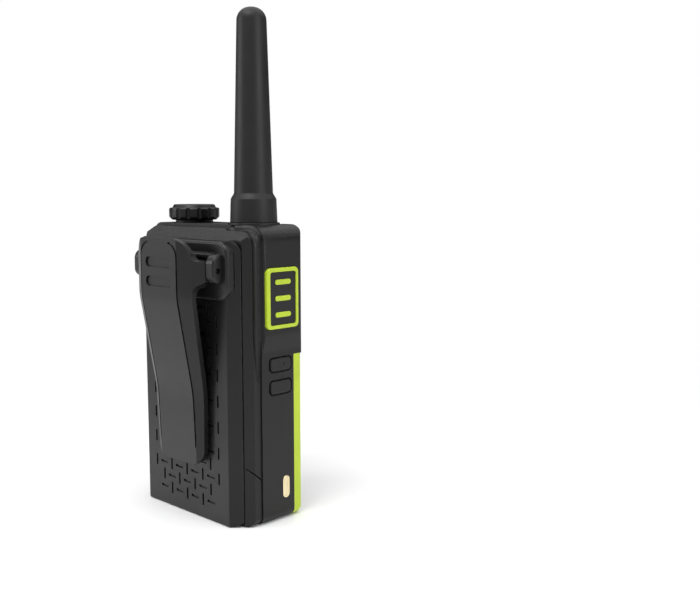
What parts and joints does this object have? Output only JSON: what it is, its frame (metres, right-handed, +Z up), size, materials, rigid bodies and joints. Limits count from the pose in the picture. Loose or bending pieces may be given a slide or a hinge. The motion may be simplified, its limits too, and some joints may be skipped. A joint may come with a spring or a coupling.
{
  "type": "portable radio",
  "caption": "Compact handheld two-way radio with stub antenna, volume knob, coloured push-to-talk button, side keys, rubber socket cover, battery cover and sprung belt clip.",
  "frame": {"origin": "centre of the body's base, at half the body's width and depth", "axes": "+Z up along the antenna, +Y towards the belt clip, -Y the speaker face, -X the push-to-talk side, +X the socket side"},
  "size_m": [0.0611, 0.038, 0.1713],
  "materials": {
    "body_black": "fine matte grain",
    "cover_black": "fine matte grain",
    "clip_plastic": "satin",
    "knob_plastic": "satin",
    "key_rubber": "soft matte",
    "soft_rubber": "soft matte",
    "lime_plastic": "satin",
    "gold_contact": "plated, satin",
    "steel_parts": "bright",
    "dark_metal": "blackened",
    "tin_plate": "tinned, dull",
    "board_laminate": "solder mask",
    "switch_plastic": "moulded",
    "speaker_cone": "pressed paper",
    "clear_lens": "clear",
    "cell_wrap": "printed sleeve"
  },
  "bodies": {
    "housing": {"front_housing": "body_black", "rear_frame": "body_black", "lime_trim": "lime_plastic", "speaker_panel": "body_black", "seal_ring": "soft_rubber", "speaker": "speaker_cone", "microphone": "tin_plate", "lamp_guide": "clear_lens", "main_board": "board_laminate", "rf_shield": "tin_plate", "antenna_whip": "soft_rubber", "antenna_flange": "body_black", "antenna_stud": "steel_parts", "antenna_nut": "steel_parts", "knob_control": "tin_plate", "knob_nut": "dark_metal", "ptt_switch": "switch_plastic", "key_switches": "switch_plastic", "flap_anchor": "soft_rubber", "headset_jack": "switch_plastic", "charge_socket": "tin_plate", "side_contacts": "gold_contact", "battery_cells": "cell_wrap", "cell_contacts": "gold_contact", "housing_screws": "steel_parts"},
    "volume_knob": {"volume_knob": "knob_plastic", "knob_shaft": "steel_parts"},
    "ptt_button": {"ptt_frame": "lime_plastic", "ptt_insert": "key_rubber", "ptt_bars": "lime_plastic"},
    "upper_key": {"key_upper": "key_rubber"},
    "lower_key": {"key_lower": "key_rubber"},
    "socket_cover": {"port_flap": "soft_rubber"},
    "back_cover": {"battery_cover": "cover_black", "clip_mount": "clip_plastic", "mount_screws": "steel_parts", "clip_pin": "dark_metal", "clip_spring": "steel_parts"},
    "clip_lever": {"belt_clip": "clip_plastic"}
  },
  "joints": [
    {"name": "volume_turn", "type": "hinge", "parent": "housing", "child": "volume_knob", "pos_m": [0.0164, -0.0036, 0.1], "axis": [0, 0, -1], "range_deg": [0, 270]},
    {"name": "ptt_press", "type": "slide", "parent": "housing", "child": "ptt_button", "axis": [1, 0, 0], "range_m": [0, 0.0012], "stiffness_N_per_m": 2500, "springref_m": -0.0004},
    {"name": "upper_key_press", "type": "slide", "parent": "housing", "child": "upper_key", "axis": [1, 0, 0], "range_m": [0, 0.0007], "stiffness_N_per_m": 3000, "springref_m": -0.0003},
    {"name": "lower_key_press", "type": "slide", "parent": "housing", "child": "lower_key", "axis": [1, 0, 0], "range_m": [0, 0.0007], "stiffness_N_per_m": 3000, "springref_m": -0.0003},
    {"name": "socket_cover_fold", "type": "hinge", "parent": "housing", "child": "socket_cover", "pos_m": [0.02875, -0.0047, 0.054], "axis": [0, 1, 0], "range_deg": [0, 90]},
    {"name": "cover_removal", "type": "slide", "parent": "housing", "child": "back_cover", "axis": [0, 1, 0], "range_m": [0, 0.035]},
    {"name": "clip_open", "type": "hinge", "parent": "back_cover", "child": "clip_lever", "pos_m": [0, 0.0167, 0.0857], "axis": [1, 0, 0], "range_deg": [0, 16], "stiffness_Nm_per_rad": 0.6, "springref_deg": -20.05, "deforming": ["clip_spring"]}
  ]
}
